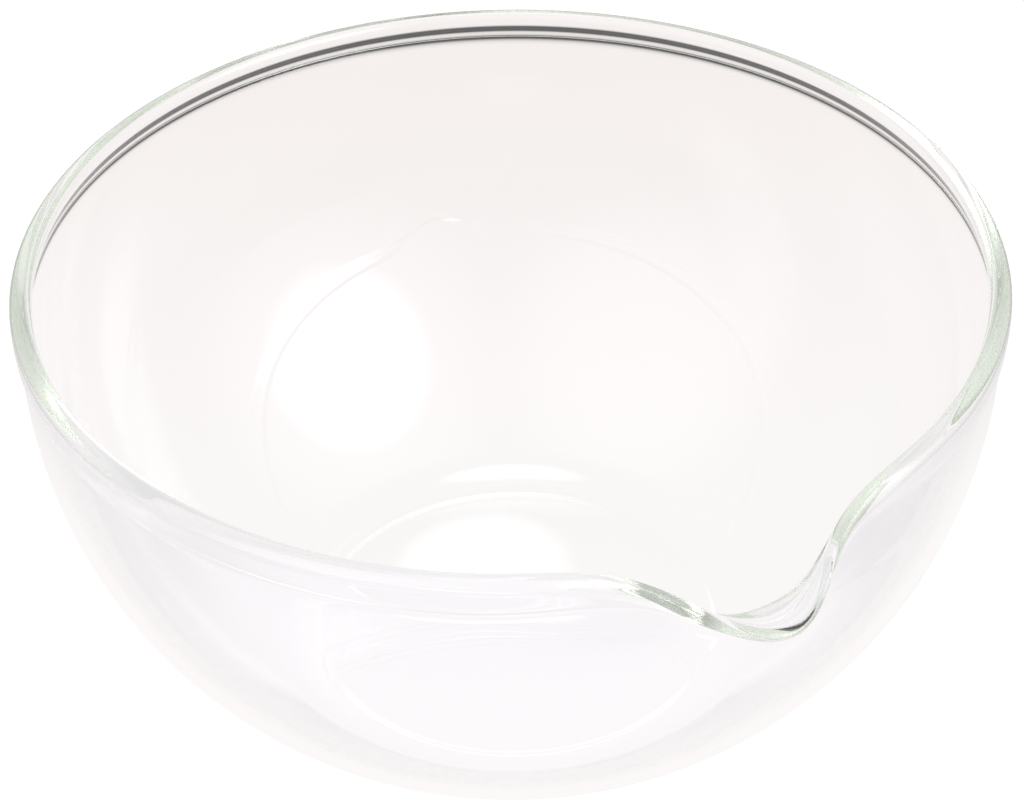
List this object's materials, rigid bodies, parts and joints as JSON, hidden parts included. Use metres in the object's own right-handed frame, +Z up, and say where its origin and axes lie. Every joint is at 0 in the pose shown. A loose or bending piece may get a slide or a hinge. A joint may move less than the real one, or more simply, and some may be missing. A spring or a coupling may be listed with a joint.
{
  "type": "mixing bowl",
  "caption": "Deep round clear glass mixing bowl with a flat foot, a rolled rim and a pouring lip pulled out of the rim.",
  "frame": {"origin": "centre of the flat foot, on the surface the bowl stands on", "axes": "+Z up through the open mouth, +X straight out over the pouring lip, +Y to the left of the lip seen from above"},
  "size_m": [0.1938, 0.184, 0.0907],
  "materials": {
    "clear_glass": "clear, fire polished"
  },
  "bodies": {
    "root": {"glass_bowl": "clear_glass"}
  },
  "joints": []
}
